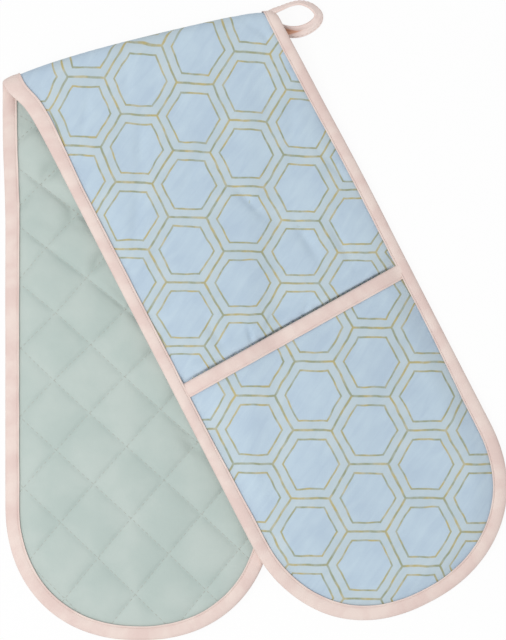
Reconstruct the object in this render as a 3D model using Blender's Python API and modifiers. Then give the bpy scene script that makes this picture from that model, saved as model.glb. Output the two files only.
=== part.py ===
"""Double oven glove: one long padded strip with a hand pocket at each end, folded in two.

The back leg lies print side down with its quilted lining showing, and the front leg lies
over it print side up. A bias tape binds the edge all round, a second tape binds the mouth of
each pocket, and a tape loop for hanging is sewn to the edge at the middle of the strip.
Lengths are in metres, +Z is up, and the folded glove lies on the plane Z = 0.
"""

import math

import bmesh
import bpy
from mathutils import Vector
from mathutils.bvhtree import BVHTree

MM = 0.001

# The strip and its two legs
glove_width = 185.0 * MM
back_leg_length = 406.0 * MM
front_leg_length = 430.0 * MM
leg_spread = math.radians(27.1)
end_power = 2.2

# The cloth layers
fabric = 0.5 * MM
clearance = 0.3 * MM
quilt_pitch = 52.8 * MM
quilt_across = -7.9 * MM
quilt_along = 134.0 * MM
puff_wadding = 4.4 * MM
channel_wadding = 1.6 * MM
fold_wadding = 3.0 * MM
edge_wadding = 0.6 * MM
draw_in = 22.0 * MM
edge_height = 4.2 * MM

# The pockets
pocket_depth = 214.0 * MM
pocket_wadding = 2.0 * MM
pocket_edge_wadding = 0.6 * MM
front_hand_space = 10.0 * MM
back_hand_space = 7.5 * MM
pocket_gap = 0.5 * MM

# The bias tapes
tape = 0.6 * MM
binding_width = 9.4 * MM
mouth_width = 9.5 * MM
tape_turn = 0.8 * MM
quilt_ease = 0.8 * MM

# The bend and how the front leg lies
bend_inner = 3.0 * MM
bend_settle = 70.0 * MM
rest_gap = 2.2 * MM
droop = 100.0 * MM

# The hanging loop
loop_width = 8.4 * MM
loop_thickness = 1.6 * MM
loop_lean = 4.6 * MM
loop_long = 14.3 * MM
loop_short = 8.6 * MM
loop_reach = 17.6 * MM
loop_rise = math.radians(20.0)
loop_root_gap = 10.5 * MM
loop_below_fold = 6.0 * MM
loop_wrap = math.radians(280.0)

# How close a cut must pass to a corner to share it
cut_snap = 0.0001 * MM

# Smoothness counts
end_segments = 22
bend_segments = 10
mouth_segments = 14
loop_segments = 16

# Sizes that follow
half = glove_width / 2
fold_tilt = leg_spread / 2
lift = tape + clearance
panel_inset = tape + tape_turn + pocket_gap
pocket_inset = binding_width + pocket_gap
cell = quilt_pitch / 2
skins = 2 * fabric + 2 * clearance
strip_full = skins + puff_wadding
strip_edge = skins + edge_wadding
bend_outer = bend_inner + skins + fold_wadding
bend_middle = (bend_inner + bend_outer) / 2
bend_height = lift + bend_outer
pocket_full = skins + pocket_wadding
pocket_seat = pocket_full + clearance
mouth_band = mouth_width + 2 * clearance

BLUE = (0.470, 0.590, 0.716)
GREEN = (0.503, 0.580, 0.546)
PINK = (0.780, 0.617, 0.571)
WHITE = (0.840, 0.830, 0.800)


def smooth(value):
    """A step from 0 to 1 that starts and ends level."""
    held = min(max(value, 0.0), 1.0)
    return held * held * (3 - 2 * held)


def inset_of(across, along):
    """How far a point of a leg lies inside the edge; along is measured from the tip."""
    if along >= half:
        return half - abs(across)
    reach = abs(across) ** end_power + (half - along) ** end_power
    return half - reach ** (1 / end_power)


def end_point(inset, turn):
    """A point on the round end, inset from the edge; turn runs from 0 at left to pi."""
    size = half - inset
    side = math.cos(turn)
    across = -math.copysign(abs(side) ** (2 / end_power), side) * size
    return Vector((across, half - abs(math.sin(turn)) ** (2 / end_power) * size))


# Where the legs lie: the back leg runs straight up the page, the front leg is turned
# about the fold, and both meet the bend along one line
class Leg:
    """A leg's own frame: across it, and along it from its tip to the bend."""

    def __init__(self, tip, turn, length, slant):
        self.tip = tip
        self.across = Vector((math.cos(turn), math.sin(turn)))
        self.along = Vector((-math.sin(turn), math.cos(turn)))
        self.length = length
        self.slant = slant

    def place(self, across, along):
        return self.tip + self.across * across + self.along * along

    def read(self, point):
        step = point - self.tip
        return step.dot(self.across), step.dot(self.along)

    def end_at(self, across):
        """How far from the tip the bend starts, at this place across the leg."""
        return self.length + self.slant * across * math.tan(fold_tilt)


fold_along = Vector((math.cos(fold_tilt), math.sin(fold_tilt)))
fold_out = Vector((-math.sin(fold_tilt), math.cos(fold_tilt)))
back = Leg(Vector((0.0, 0.0)), 0.0, back_leg_length, 1)
fold_start = back.place(0, back_leg_length)
wrap_shift = math.pi * bend_middle * math.tan(fold_tilt)
fold_finish = fold_start + fold_along * wrap_shift
front_tip = fold_finish + Vector((math.sin(leg_spread), -math.cos(leg_spread))) * front_leg_length
front = Leg(front_tip, leg_spread, front_leg_length, -1)


# Heights of the cloth
def arch(across, along):
    """The crown across a leg: 0 at the edge and 1 along the middle."""
    share = min(max(inset_of(across, along) / half, 0.0), 1.0)
    return 1 - (1 - share) ** 2


def fullness(across, along):
    """0 where the tape draws the wadding thin, 1 where it is at its full thickness."""
    return smooth((inset_of(across, along) - panel_inset) / draw_in)


def hand_room(across, along, room):
    """The space left for a hand in a pocket, widest at the middle of the mouth."""
    return room * smooth(along / pocket_depth) * arch(across, along)


def back_under(across, along):
    """The underside of the back leg's print."""
    held = min(along, pocket_depth)
    over_pocket = pocket_seat + hand_room(across, held, back_hand_space)
    run = back.length - half * math.tan(fold_tilt) - pocket_depth
    return lift + (over_pocket - lift) * (1 - smooth((along - pocket_depth) / run))


def quilting(across, along):
    """0 on a stitched line of the quilting and 1 at the middle of a cell."""
    column = (across - quilt_across) / cell
    row = (along - quilt_along) / cell
    return min(abs(value - 2 * round(value / 2)) for value in (column - row, column + row))


def strip_wadding(across, along):
    """The wadding's thickness: thick in each quilted cell, thin along the stitched lines."""
    swell = 1 - (1 - quilting(across, along)) ** 2
    middle = channel_wadding + (puff_wadding - channel_wadding) * swell
    return edge_wadding + (middle - edge_wadding) * fullness(across, along)


def front_floor(across, along):
    """What the front leg lies on: the back leg, then down to the table beside it."""
    point = front.place(across, along)
    back_across, back_along = back.read(point)
    beyond = max(back_across - half, 0.0)
    inside = min(back_across, half)
    reach = max(back_along, 0.0)
    inset = max(inset_of(inside, reach), 0.0)
    edge_top = strip_edge + lift
    top = back_under(inside, reach) + edge_top
    top += (strip_full - edge_top) * smooth(inset / draw_in) + rest_gap
    past_tip = max(half - back_along, 0.0)
    return top * (1 - smooth((beyond + past_tip) / droop))


def front_over(across, along):
    """The top of the front leg's print."""
    lying = front_floor(across, along) + edge_height
    lying += (strip_full - edge_height) * fullness(across, along)
    from_bend = (fold_start - front.place(across, along)).dot(fold_out)
    return lying + (lift + 2 * bend_outer - lying) * (1 - smooth(from_bend / bend_settle))


def mouth_share(along):
    """1 under the mouth's tape and 0 a cell further in."""
    return smooth((along - (pocket_depth - mouth_band - cell)) / cell)


def pocket_fill(across, along):
    """The pocket wadding's thickness."""
    full = smooth((inset_of(across, along) - pocket_inset) / draw_in) * (1 - mouth_share(along))
    return pocket_edge_wadding + (pocket_wadding - pocket_edge_wadding) * full


def back_pocket_under(across, along):
    """The underside of the back pocket, flat on the table but for its taped mouth."""
    full = smooth((inset_of(across, along) - pocket_inset) / draw_in)
    return lift * max(1 - full, mouth_share(along))


def front_pocket_under(across, along):
    """The underside of the front pocket, over the space for the hand."""
    room = hand_room(across, along, front_hand_space)
    return front_over(across, along) + clearance + room


# Collections, bodies and materials
for old in list(bpy.data.objects):
    bpy.data.objects.remove(old)

glove = bpy.data.collections.new("double_oven_glove")
bpy.context.scene.collection.children.link(glove)


def add_hub(name, place, parent=None):
    """An empty on a joint's axis, which carries the pieces of one moving body."""
    hub = bpy.data.objects.new(name, None)
    glove.objects.link(hub)
    hub.parent = parent
    hub["place"] = list(place)
    parent_place = Vector(parent["place"]) if parent else Vector((0, 0, 0))
    hub.location = Vector(place) - parent_place
    return hub


def cloth_material(name, colour):
    material = bpy.data.materials.new(name)
    material.use_nodes = True
    shader = material.node_tree.nodes["Principled BSDF"]
    shader.inputs["Base Color"].default_value = (*colour, 1)
    shader.inputs["Roughness"].default_value = 0.9
    shader.inputs["Metallic"].default_value = 0.0
    return material


def finish_piece(name, shape, hub, colour):
    """Turn a bmesh into a named object that is carried by its hub."""
    mesh = bpy.data.meshes.new(name)
    shape.to_mesh(mesh)
    mesh.materials.append(cloth_material(name + "_cloth", colour))
    piece = bpy.data.objects.new(name, mesh)
    glove.objects.link(piece)
    piece.parent = hub
    piece.location = -Vector(hub["place"])
    return piece


def solidify_tape(piece, thickness, offset):
    tape_wall = piece.modifiers.new("tape", "SOLIDIFY")
    tape_wall.thickness = thickness
    tape_wall.offset = offset


# Flat sheets, cut out before they are draped
def quilt_sheet(length, split):
    """A sheet cut into triangles along the quilting lines, split times to half a cell."""
    step = cell / split
    columns = math.ceil((half + cell) / step)
    rows_below = math.ceil((quilt_along + cell) / step)
    rows_above = math.ceil((length + half - quilt_along + cell) / step)
    rows = rows_below + rows_above
    sheet = bmesh.new()
    bmesh.ops.create_grid(sheet, x_segments=2 * columns, y_segments=rows, size=0.5)
    for vert in sheet.verts:
        column = round((vert.co.x + 0.5) * 2 * columns) - columns
        row = round((vert.co.y + 0.5) * rows) - rows_below
        vert.co = (quilt_across + column * step, quilt_along + row * step, 0)
        vert.tag = (column + row) % 2 == 0
    bmesh.ops.connect_verts(sheet, verts=[vert for vert in sheet.verts if vert.tag])
    return sheet


def trim(sheet, point, outward, keep_both=False):
    """Cut the sheet along a line, and drop what lies on the outward side."""
    geometry = sheet.verts[:] + sheet.edges[:] + sheet.faces[:]
    bmesh.ops.bisect_plane(
        sheet, geom=geometry, dist=cut_snap, plane_co=(*point, 0),
        plane_no=(*outward, 0), clear_outer=not keep_both)


def trim_outline(sheet, inset):
    """Cut the sheet to the leg's sides and round end."""
    for side in (-1, 1):
        trim(sheet, (side * (half - inset), half), (side, 0))
    corners = [end_point(inset, math.pi * step / end_segments) for step in range(end_segments + 1)]
    for first, second in zip(corners, corners[1:]):
        run = second - first
        trim(sheet, first, (run.y, -run.x))


def tidy_sheet(sheet):
    bmesh.ops.remove_doubles(sheet, verts=sheet.verts[:], dist=clearance / 2)
    bmesh.ops.triangulate(sheet, faces=sheet.faces[:])


def leg_sheet(leg, split):
    sheet = quilt_sheet(leg.length, split)
    trim_outline(sheet, panel_inset)
    slope = Vector((-leg.slant * math.sin(fold_tilt), math.cos(fold_tilt)))
    end = Vector((0, leg.length)) - slope * clearance
    trim(sheet, end, slope)
    tidy_sheet(sheet)
    return sheet


def pocket_sheet(leg):
    sheet = quilt_sheet(leg.length, 1)
    trim_outline(sheet, pocket_inset)
    trim(sheet, (0, pocket_depth - panel_inset), (0, 1))
    trim(sheet, (0, pocket_depth - mouth_band), (0, 1), keep_both=True)
    tidy_sheet(sheet)
    return sheet


def layer(name, sheet, low, high, hub, colour):
    """A cloth layer: the flat sheet laid at its lower and its upper surface."""
    shape = sheet.copy()
    flat = {}
    raised = bmesh.ops.extrude_face_region(shape, geom=shape.faces[:])["geom"]
    upper = {item for item in raised if isinstance(item, bmesh.types.BMVert)}
    for vert in shape.verts:
        flat[vert] = (vert.co.x, vert.co.y)
    for vert, (across, along) in flat.items():
        vert.co = high(across, along) if vert in upper else low(across, along)
    bmesh.ops.recalc_face_normals(shape, faces=shape.faces[:])
    if shape.calc_volume(signed=True) < 0:
        bmesh.ops.reverse_faces(shape, faces=shape.faces[:])
    finish_piece(name, shape, hub, colour)
    return shape


def leg_surface(leg, height):
    """Turn a height over a leg into places in the world."""
    def at(across, along):
        point = leg.place(across, along)
        return (point.x, point.y, height(across, along))
    return at


def stack(leg, prefix, sheets, base, fill, print_low, hub):
    """Print, wadding and lining, laid one on the other, and the tree of their surfaces."""
    names = ("print", "wadding", "lining") if print_low else ("lining", "wadding", "print")
    colours = {"print": BLUE, "wadding": WHITE, "lining": GREEN}
    wadding_low = fabric + clearance
    levels = (
        (lambda a, l: base(a, l), lambda a, l: base(a, l) + fabric),
        (lambda a, l: base(a, l) + wadding_low, lambda a, l: base(a, l) + wadding_low + fill(a, l)),
        (lambda a, l: base(a, l) + wadding_low + fill(a, l) + clearance,
         lambda a, l: base(a, l) + wadding_low + fill(a, l) + clearance + fabric),
    )
    together = bmesh.new()
    for kind, sheet, (low, high) in zip(names, sheets, levels):
        shape = layer(prefix + kind, sheet, leg_surface(leg, low), leg_surface(leg, high),
                      hub, colours[kind])
        mesh = bpy.data.meshes.new("surface")
        shape.to_mesh(mesh)
        together.from_mesh(mesh)
        bpy.data.meshes.remove(mesh)
    return BVHTree.FromBMesh(together)


# Bias tapes, laid round the edge of the layers that they hold
def surface_heights(tree, point):
    """The lowest and highest surface of the layers over a place."""
    far = glove_width
    aside = Vector((clearance, clearance / 2)) / 10
    for spot in (point, point + aside, point - aside):
        under = tree.ray_cast((spot.x, spot.y, -far), (0, 0, 1))[0]
        over = tree.ray_cast((spot.x, spot.y, far), (0, 0, -1))[0]
        if under and over:
            break
    return under.z, over.z


def tape_sheet(stations):
    """An open sheet through rows of points, one row for each fold of the tape."""
    shape = bmesh.new()
    rows = list(zip(*stations))
    verts = [shape.verts.new(point) for point in rows[0]]
    edges = [shape.edges.new(pair) for pair in zip(verts, verts[1:])]
    for row in rows[1:]:
        made = bmesh.ops.extrude_edge_only(shape, edges=edges)["geom"]
        verts = [item for item in made if isinstance(item, bmesh.types.BMVert)]
        edges = [item for item in made if isinstance(item, bmesh.types.BMEdge)]
        for vert, point in zip(verts, row):
            vert.co = point
    return shape


def tape_section(tree, leg, spot, sample, width, eases):
    """The inside of a folded tape at one place: under lip, under, edge, over, over lip."""
    def heights(inset):
        return surface_heights(tree, leg.place(*sample(max(inset, panel_inset + pocket_gap))))

    lip_low, lip_high = heights(width)
    low, high = heights(tape + tape_turn)
    places = (
        (width, lip_low - eases[0]),
        (tape + tape_turn, low - clearance),
        (tape, (low + high) / 2),
        (tape + tape_turn, high + clearance),
        (width, lip_high + eases[1]),
    )
    return [Vector((*leg.place(*spot(inset)), height)) for inset, height in places]


def straight_stops(leg, side):
    """Where the tape is set along one side, from the round end to the bend."""
    stop = quilt_along
    while stop - cell / 2 > half + clearance:
        stop -= cell / 2
    stops = []
    last = leg.end_at(side * (half - binding_width))
    last = min(last, leg.end_at(side * half))
    while stop < last - cell / 4:
        stops.append(stop)
        stop += cell / 2
    return stops


def edge_tape(name, leg, tree, hub, eases):
    """The bias tape round one leg, from the bend down one side, round the end and back."""
    stations = []

    def side_station(side, stop):
        def spot(inset):
            across = side * (half - inset)
            end = leg.end_at(across) - clearance / math.cos(fold_tilt)
            return Vector((across, end if stop is None else stop))

        def sample(inset):
            return spot(inset) - Vector((0, clearance if stop is None else 0))

        stations.append(tape_section(tree, leg, spot, sample, binding_width, eases))

    side_station(-1, None)
    for stop in reversed(straight_stops(leg, -1)):
        side_station(-1, stop)
    for step in range(end_segments + 1):
        turn = math.pi * step / end_segments

        def spot(inset, turn=turn):
            return end_point(inset, turn)

        stations.append(tape_section(tree, leg, spot, spot, binding_width, eases))
    for stop in straight_stops(leg, 1):
        side_station(1, stop)
    side_station(1, None)
    piece = finish_piece(name, tape_sheet(stations), hub, PINK)
    solidify_tape(piece, tape, -1)


def mouth_tape(name, leg, tree, hub, ease):
    """The bias tape over the mouth edge of a pocket."""
    stations = []
    reach = half - pocket_inset
    for step in range(mouth_segments + 1):
        across = reach * (2 * step / mouth_segments - 1)
        sampled = min(max(across, clearance - reach), reach - clearance)

        def spot(inset, across=across):
            return Vector((across, pocket_depth - inset))

        def sample(inset, across=sampled):
            return Vector((across, pocket_depth - inset))

        stations.append(tape_section(tree, leg, spot, sample, mouth_width, (ease, ease)))
    piece = finish_piece(name, tape_sheet(stations), hub, PINK)
    solidify_tape(piece, tape, 1)


# The bodies, each on its joint's axis
bend_centre = Vector((*fold_start, bend_height))
pivot_share = math.pi / 4
pivot_out = Vector((*fold_out, 0)) * bend_middle * pivot_share
pivot_down = Vector((0, 0, bend_middle * pivot_share))
back_hub = add_hub("back_leg", Vector((*back.place(0, half), 0)))
fold_hub = add_hub("fold", bend_centre + pivot_out - pivot_down, back_hub)
front_hub = add_hub("front_leg", bend_centre + pivot_out + pivot_down, fold_hub)

pocket_end = end_point(pocket_inset, math.pi / 2)
back_pocket_hinge = Vector((*back.place(*pocket_end), back_pocket_under(*pocket_end)))
front_pocket_top = front_pocket_under(*pocket_end) + skins + pocket_edge_wadding
front_pocket_hinge = Vector((*front.place(*pocket_end), front_pocket_top))
back_pocket_hub = add_hub("back_pocket", back_pocket_hinge, back_hub)
front_pocket_hub = add_hub("front_pocket", front_pocket_hinge, front_hub)


# The back leg, print side down
back_quilt = leg_sheet(back, 2)
back_sheets = (leg_sheet(back, 1), back_quilt, back_quilt)
back_tree = stack(back, "back_", back_sheets, back_under, strip_wadding, True, back_hub)
edge_tape("back_edge_binding", back, back_tree, back_hub, (clearance, quilt_ease))


# The front leg, print side up
def front_under(across, along):
    return front_over(across, along) - skins - strip_wadding(across, along)


front_sheets = (leg_sheet(front, 2),) * 3
front_tree = stack(front, "front_", front_sheets, front_under, strip_wadding, False, front_hub)
edge_tape("front_edge_binding", front, front_tree, front_hub, (quilt_ease, clearance))

# The pockets
pocket_sheets = (pocket_sheet(back),) * 3
back_pocket_tree = stack(
    back, "back_pocket_", pocket_sheets, back_pocket_under, pocket_fill, True, back_pocket_hub)
mouth_tape("back_mouth_binding", back, back_pocket_tree, back_pocket_hub, clearance)
front_pocket_tree = stack(
    front, "front_pocket_", pocket_sheets, front_pocket_under, pocket_fill, False, front_pocket_hub)
mouth_tape("front_mouth_binding", front, front_pocket_tree, front_pocket_hub, quilt_ease)


# The bend between the legs
def bend_place(across, turn, radius):
    """A place on the bend; turn is 0 at the back leg and pi at the front leg."""
    along_fold = (across + bend_middle * turn * math.sin(fold_tilt)) / math.cos(fold_tilt)
    point = fold_start + fold_along * along_fold
    point += fold_out * radius * math.sin(turn)
    return Vector((*point, bend_height - radius * math.cos(turn)))


def bend_sheet():
    """A flat sheet across the strip and round the bend."""
    sheet = bmesh.new()
    bmesh.ops.create_grid(sheet, x_segments=6, y_segments=bend_segments, size=1)
    reach = half - panel_inset
    columns = (-reach, draw_in / 2 - reach, draw_in - reach, 0,
               reach - draw_in, reach - draw_in / 2, reach)
    for vert in sheet.verts:
        column = columns[round((vert.co.x + 1) * 3)]
        vert.co = (column, (vert.co.y + 1) / 2 * math.pi, 0)
    return sheet


def bend_layer(name, colour, inner, outer):
    def surface(depth):
        def at(across, turn):
            full = smooth((half - abs(across) - panel_inset) / draw_in)
            fill = edge_wadding + (fold_wadding - edge_wadding) * full
            return bend_place(across, turn, bend_outer - depth(fill))
        return at
    layer(name, bend_sheet(), surface(outer), surface(inner), fold_hub, colour)


def bend_tape(name, side):
    """The bias tape over one edge of the bend."""
    lip_full = smooth((draw_in / 2) / draw_in) * (binding_width - panel_inset) / (draw_in / 2)
    lip_depth = strip_edge + (fold_wadding - edge_wadding) * lip_full
    places = (
        (binding_width, clearance),
        (tape + tape_turn, clearance),
        (tape, -strip_edge / 2),
        (tape + tape_turn, -strip_edge - clearance),
        (binding_width, -lip_depth - clearance),
    )
    stations = []
    for step in range(bend_segments + 1):
        turn = math.pi * step / bend_segments
        stations.append([
            bend_place(side * (half - inset), turn, bend_outer + rise)
            for inset, rise in places])
    piece = finish_piece(name, tape_sheet(stations), fold_hub, PINK)
    solidify_tape(piece, tape, -side)


bend_layer("fold_print", BLUE, lambda fill: fabric, lambda fill: 0)
bend_layer("fold_wadding", WHITE, lambda fill: fabric + clearance + fill,
           lambda fill: fabric + clearance)
bend_layer("fold_lining", GREEN, lambda fill: skins + fill,
           lambda fill: skins - fabric + fill)
bend_tape("fold_binding_left", -1)
bend_tape("fold_binding_right", 1)


# The hanging loop, a folded tape sewn by both ends to the right edge below the bend
def hanging_loop():
    edge = half + clearance
    root_along = back.end_at(half) - loop_below_fold
    stand = math.sqrt(loop_width ** 2 - loop_lean ** 2)
    root_middle = back.place(edge, root_along)
    forward = Vector((math.cos(loop_rise), math.sin(loop_rise)))
    aside = Vector((-forward.y, forward.x))
    centre = root_middle + forward * loop_reach
    first = root_middle + back.along * (loop_root_gap / 2)
    last = root_middle - back.along * (loop_root_gap / 2)
    foot = [(first, Vector((0, 1)))]
    for step in range(loop_segments + 1):
        angle = loop_wrap * (0.5 - step / loop_segments)
        point = forward * loop_long * math.cos(angle) + aside * loop_short * math.sin(angle)
        outward = forward * math.cos(angle) / loop_long + aside * math.sin(angle) / loop_short
        foot.append((centre + point, outward.normalized()))
    foot.append((last, Vector((0, -1))))
    stations = []
    for point, outward in foot:
        low = point + outward * (loop_lean / 2)
        high = point - outward * (loop_lean / 2)
        stations.append((Vector((*low, loop_thickness)), Vector((*high, loop_thickness + stand))))
    hinge = Vector((*root_middle, 2 * loop_thickness + stand))
    hub = add_hub("loop_hinge", hinge, back_hub)
    piece = finish_piece("hanging_loop", tape_sheet(stations), hub, PINK)
    solidify_tape(piece, loop_thickness, 0)


hanging_loop()

# Stand the glove on the origin, in the middle of its own outline
bpy.context.view_layer.update()
corners = []
for piece in glove.objects:
    if piece.type == "MESH":
        corners += [piece.matrix_world @ Vector(corner) for corner in piece.bound_box]
middle = [(min(c[axis] for c in corners) + max(c[axis] for c in corners)) / 2 for axis in (0, 1)]
back_hub.location -= Vector((*middle, 0))
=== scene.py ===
"""Double oven glove, folded in two: the sewn pieces, laid over the frame of its CAD model.

Each section is one piece or one group of like pieces, in the order they are put together.
Lengths are in metres, +Z is up, and the glove lies on the floor at Z = 0.
"""

import math
from functools import partial

import bmesh
import bpy
from mathutils import Matrix, Vector, noise


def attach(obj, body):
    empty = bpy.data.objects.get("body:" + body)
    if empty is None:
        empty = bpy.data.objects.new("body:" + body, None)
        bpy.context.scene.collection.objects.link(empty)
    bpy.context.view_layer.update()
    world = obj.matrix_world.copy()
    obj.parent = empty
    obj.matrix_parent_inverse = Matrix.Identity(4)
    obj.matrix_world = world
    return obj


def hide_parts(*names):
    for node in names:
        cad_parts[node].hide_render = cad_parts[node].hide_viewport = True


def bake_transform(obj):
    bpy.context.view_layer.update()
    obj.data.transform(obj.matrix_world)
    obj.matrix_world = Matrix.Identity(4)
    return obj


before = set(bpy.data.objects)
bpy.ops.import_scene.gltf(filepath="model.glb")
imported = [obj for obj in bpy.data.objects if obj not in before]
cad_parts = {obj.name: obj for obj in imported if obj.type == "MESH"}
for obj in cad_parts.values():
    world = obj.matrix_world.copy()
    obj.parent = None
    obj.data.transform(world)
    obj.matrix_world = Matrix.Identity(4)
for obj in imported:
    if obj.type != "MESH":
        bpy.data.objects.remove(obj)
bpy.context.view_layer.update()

# The strip. One long strip of three layers, folded in two: printed cotton outside,
# polyester wadding, and a quilted cotton lining inside. The back leg lies print side
# down, the front leg over it print side up, 27 degrees apart, and both meet at the fold.
MM = 0.001
half = 92.5 * MM
end_power = 2.2
leg_spread = math.radians(27.1)
fold_tilt = leg_spread / 2
bend_inner = 3.0 * MM
bend_outer = 7.6 * MM
bend_middle = (bend_inner + bend_outer) / 2
bend_height = 8.5 * MM
crest_turn = math.pi / 2


class Leg:
    """A leg's own frame: across it, along it from its tip, and inward from its print."""

    def __init__(self, name, tip, turn, length, slant):
        self.name = name
        self.tip = tip
        self.across = Vector((math.cos(turn), math.sin(turn)))
        self.along = Vector((-math.sin(turn), math.cos(turn)))
        self.length = length
        self.slant = slant

    def flat(self, across, along):
        return self.tip + self.across * across + self.along * along

    def read(self, point):
        step = point - self.tip
        return step.dot(self.across), step.dot(self.along)

    def bend_at(self, across):
        """How far from the tip the bend starts, at this place across the leg."""
        return self.length + self.slant * across * math.tan(fold_tilt)

    def crest_at(self, across):
        """How far from the tip the leg reaches the crest of the fold."""
        return self.bend_at(across) + bend_middle * crest_turn / math.cos(fold_tilt)


fold_along = Vector((math.cos(fold_tilt), math.sin(fold_tilt)))
fold_out = Vector((-math.sin(fold_tilt), math.cos(fold_tilt)))
back = Leg("back", Vector((-79.766, -220.33)) * MM, 0.0, 406 * MM, 1)
fold_start = back.flat(0, back.length)
fold_finish = fold_start + fold_along * math.pi * bend_middle * math.tan(fold_tilt)
front_length = 430 * MM
front_run = Vector((math.sin(leg_spread), -math.cos(leg_spread))) * front_length
front = Leg("front", fold_finish + front_run, leg_spread, front_length, -1)
legs = (back, front)

# Layer thicknesses and the heights at which the cloth lies
fabric = 0.5 * MM
clearance = 0.3 * MM
skins = 2 * fabric + 2 * clearance
puff_wadding = 4.4 * MM
channel_wadding = 1.6 * MM
fold_wadding = 3.0 * MM
edge_wadding = 0.6 * MM
strip_full = skins + puff_wadding
strip_edge = skins + edge_wadding
edge_height = 3.7 * MM
lift = 0.9 * MM
draw_in = 22 * MM
rest_gap = 1.2 * MM
droop = 100 * MM
bend_settle = 70 * MM
pocket_depth = 214 * MM
pocket_layers = 3.9 * MM
hand_spaces = {back: 7.5 * MM, front: 10.0 * MM}
seam_inset = 8.5 * MM
seam_rise = 17 * MM


def smooth(value):
    """A step from 0 to 1 that starts and ends level."""
    held = min(max(value, 0.0), 1.0)
    return held * held * (3 - 2 * held)


def inset_of(across, along):
    """How far a point of a leg lies inside its edge."""
    if along >= half:
        return half - abs(across)
    reach = abs(across) ** end_power + (half - along) ** end_power
    return half - reach ** (1 / end_power)


def end_point(inset, turn):
    """A point on the round end, inset from the edge; turn runs from 0 at left to pi."""
    size = half - inset
    side = math.cos(turn)
    across = -math.copysign(abs(side) ** (2 / end_power), side) * size
    return across, half - abs(math.sin(turn)) ** (2 / end_power) * size


def seam_swell(inset):
    """0 at the tape's stitches, then a quick rise to 1, as stuffed cloth leaves a seam."""
    share = min(max((inset - seam_inset) / seam_rise, 0.0), 1.0)
    return 1 - (1 - share) ** 2


def ripple(across, along, size, seed):
    """Soft irregular waves between -1 and 1, of about this size."""
    return noise.noise(Vector((across / size, along / size, seed)))


def waves_of(waves, across, along):
    """The sum of some waves, each given by its height and size in millimetres and a seed."""
    return sum(height * MM * ripple(across, along, size * MM, seed)
               for height, size, seed in waves)


# Puckers along a seam: how far apart, how far they reach, over what lengths they drift and
# change, by how many spacings they drift, and their usual strength with its change
pucker_spacing, pucker_fade = 5.2 * MM, 7 * MM
pucker_drift, pucker_change, pucker_turn = 30 * MM, 22 * MM, 4
pucker_strength, pucker_play = 0.6, 0.8


def puckers(across, along, seed):
    """Small gathers that run in from the sewn edge and die away."""
    inset = inset_of(across, along)
    fade = math.exp(-max(inset - seam_inset, 0.0) / pucker_fade)
    way = math.atan2(across, half - along) * half if along < half else along
    phase = way / pucker_spacing + pucker_turn * ripple(across, along, pucker_drift, seed)
    strength = pucker_strength + pucker_play * ripple(across, along, pucker_change, seed + 5)
    return fade * math.sin(phase) * strength


def arch(across, along):
    """0 at the edge and 1 on the leg's middle line, as a hand would fill it."""
    share = min(max(inset_of(across, along) / half, 0.0), 1.0)
    return 1 - (1 - share) ** 2


def back_face(across, along):
    """The outer face of the back leg's print, raised where the pocket lies under it."""
    held = min(along, pocket_depth)
    hand = hand_spaces[back] * smooth(held / pocket_depth) * arch(across, held)
    over_pocket = pocket_layers + hand
    run = back.length - half * math.tan(fold_tilt) - pocket_depth
    return lift + (over_pocket - lift) * (1 - smooth((along - pocket_depth) / run))


def front_face(across, along):
    """The outer face of the front leg's print, over the back leg or down beside it."""
    point = front.flat(across, along)
    back_across, back_along = back.read(point)
    beyond = max(back_across - half, 0.0)
    inside = min(back_across, half)
    reach = max(back_along, 0.0)
    top = back_face(inside, reach) + strip_edge + lift + rest_gap
    settled = smooth(max(inset_of(inside, reach), 0.0) / draw_in)
    top += (strip_full - strip_edge - lift) * settled
    lying = top * (1 - smooth((beyond + max(half - back_along, 0.0)) / droop)) + edge_height
    lying += (strip_full - edge_height) * seam_swell(inset_of(across, along))
    from_bend = (fold_start - point).dot(fold_out)
    return lying + (lift + 2 * bend_outer - lying) * (1 - smooth(from_bend / bend_settle))


# How the tape draws the fold in at its two edges, while its middle stands out
left_draw, left_draw_fade = 6.2 * MM, 30 * MM
right_draw, right_draw_fade = 4.5 * MM, 9 * MM
crest_bulge = 1.7 * MM
draw_of_leg_share = 0.6
draw_reach = 55 * MM
ear, ear_start = 3.2 * MM, 20 * MM
ear_reach = {back: 105 * MM, front: 18 * MM}
lean_aside, lean_reach, lean_skew, lean_tip = 3.0 * MM, 90 * MM, 60 * MM, 30 * MM
waist_share = 0.006
tip_sag = 1.3 * MM
on_floor = 0.6 * MM


def fold_draw(across):
    """How far the crest lies inside the straight fold, at this place across it."""
    middle = crest_bulge * math.cos(across / half * math.pi / 2)
    left = left_draw * math.exp(-(half + across) / left_draw_fade)
    return left + right_draw * math.exp(-(half - across) / right_draw_fade) - middle


def settle(leg, across, along):
    """How the sewn strip shifts from its flat outline, near the fold and at its waist."""
    from_bend = leg.bend_at(across) - along
    drawn = draw_of_leg_share * fold_draw(across) * smooth(1 - from_bend / draw_reach)
    ear_share = smooth((-across - ear_start) / (half - ear_start))
    leftward = ear * ear_share * smooth(1 - from_bend / ear_reach[leg])
    moved = fold_along * -leftward - fold_out * drawn
    if leg is back:
        return moved - leg.along * tip_sag * smooth(1 - along / half)
    waist = math.sin(math.pi * min(max(along / leg.length, 0.0), 1.0)) ** 2
    reach = lean_reach + lean_skew * across / half
    aside = lean_aside * smooth(from_bend / reach) * smooth((along + lean_tip) / lean_reach)
    return moved + leg.across * (aside - waist_share * across * waist)


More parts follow.
